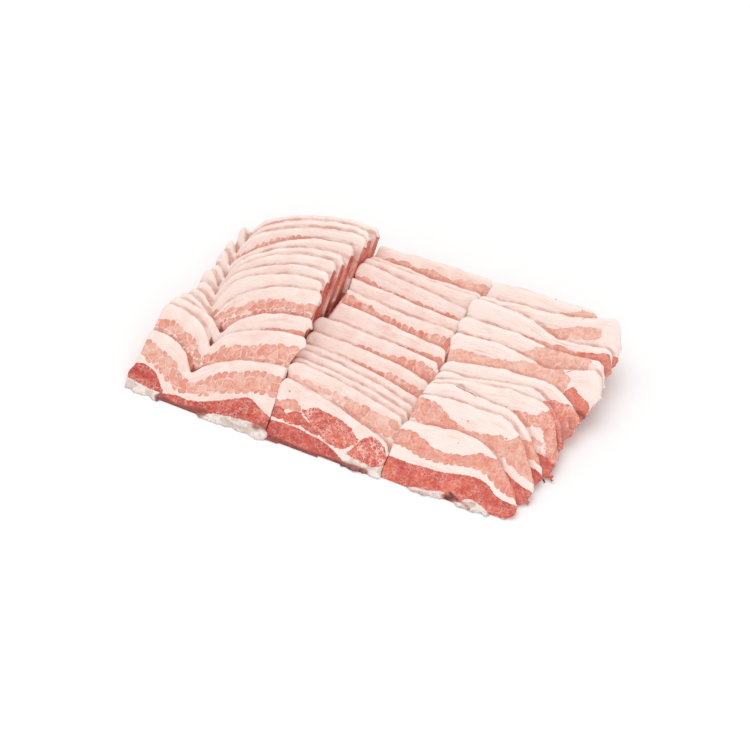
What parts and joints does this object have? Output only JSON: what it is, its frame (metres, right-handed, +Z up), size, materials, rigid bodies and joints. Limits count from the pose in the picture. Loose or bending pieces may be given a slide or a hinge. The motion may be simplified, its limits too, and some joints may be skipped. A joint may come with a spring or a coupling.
{
  "type": "sliced pork belly",
  "caption": "Raw pork belly cut into slices that lean back on one another in three columns, with white fat, pink lean layers and marbling.",
  "frame": {"origin": "middle of the block's footprint, on the table", "axes": "+X along the front edge, to the right; +Y from the front to the back; +Z up"},
  "size_m": [0.2546, 0.1574, 0.0417],
  "materials": {
    "pork_belly": "moist raw fat and lean, satin"
  },
  "bodies": {
    "root": {"left_slice_01": "pork_belly", "left_slice_02": "pork_belly", "left_slice_03": "pork_belly", "left_slice_04": "pork_belly", "left_slice_05": "pork_belly", "left_slice_06": "pork_belly", "left_slice_07": "pork_belly", "left_slice_08": "pork_belly", "left_slice_09": "pork_belly", "left_slice_10": "pork_belly", "left_slice_11": "pork_belly", "left_slice_12": "pork_belly", "middle_slice_01": "pork_belly", "middle_slice_02": "pork_belly", "middle_slice_03": "pork_belly", "middle_slice_04": "pork_belly", "middle_slice_05": "pork_belly", "middle_slice_06": "pork_belly", "middle_slice_07": "pork_belly", "middle_slice_08": "pork_belly", "middle_slice_09": "pork_belly", "middle_slice_10": "pork_belly", "middle_slice_11": "pork_belly", "middle_slice_12": "pork_belly", "middle_slice_13": "pork_belly", "middle_slice_14": "pork_belly", "right_slice_01": "pork_belly", "right_slice_02": "pork_belly", "right_slice_03": "pork_belly", "right_slice_04": "pork_belly", "right_slice_05": "pork_belly", "right_slice_06": "pork_belly", "right_slice_07": "pork_belly", "right_slice_08": "pork_belly", "right_slice_09": "pork_belly", "right_slice_10": "pork_belly", "right_slice_11": "pork_belly"}
  },
  "joints": []
}
